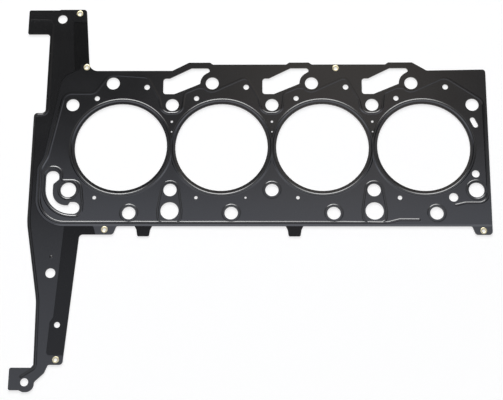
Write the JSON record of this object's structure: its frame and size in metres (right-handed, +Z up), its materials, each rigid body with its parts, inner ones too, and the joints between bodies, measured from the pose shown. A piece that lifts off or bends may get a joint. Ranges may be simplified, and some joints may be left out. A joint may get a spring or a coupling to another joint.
{
  "type": "cylinder head gasket",
  "caption": "Multi-layer steel cylinder head gasket of an in-line engine, with pressed sealing beads, coolant and oil openings, a timing case wing and open eyelets.",
  "frame": {"origin": "middle of the row of bores, midway between the second and third, on the flat underside of the lower sheets", "axes": "+X along the row of bores towards the end away from the timing case wing, +Y towards the side with the coolant windows, +Z up through the layers"},
  "size_m": [0.4465, 0.3779, 0.0017],
  "materials": {
    "sheet_coating": "satin black coating",
    "wing_coating": "satin black coating",
    "carrier_coating": "dull black coating",
    "stopper_steel": "bare rolled steel",
    "eyelet_brass": "pale plated, satin"
  },
  "bodies": {
    "root": {"carrier_plate": "carrier_coating", "upper_stopper_1": "stopper_steel", "lower_stopper_1": "stopper_steel", "upper_stopper_2": "stopper_steel", "lower_stopper_2": "stopper_steel", "upper_stopper_3": "stopper_steel", "lower_stopper_3": "stopper_steel", "upper_stopper_4": "stopper_steel", "lower_stopper_4": "stopper_steel", "upper_bead_sheet": "sheet_coating", "wing_upper_sheet": "wing_coating", "lower_bead_sheet": "sheet_coating", "wing_lower_sheet": "wing_coating", "eyelets": "eyelet_brass"}
  },
  "joints": []
}
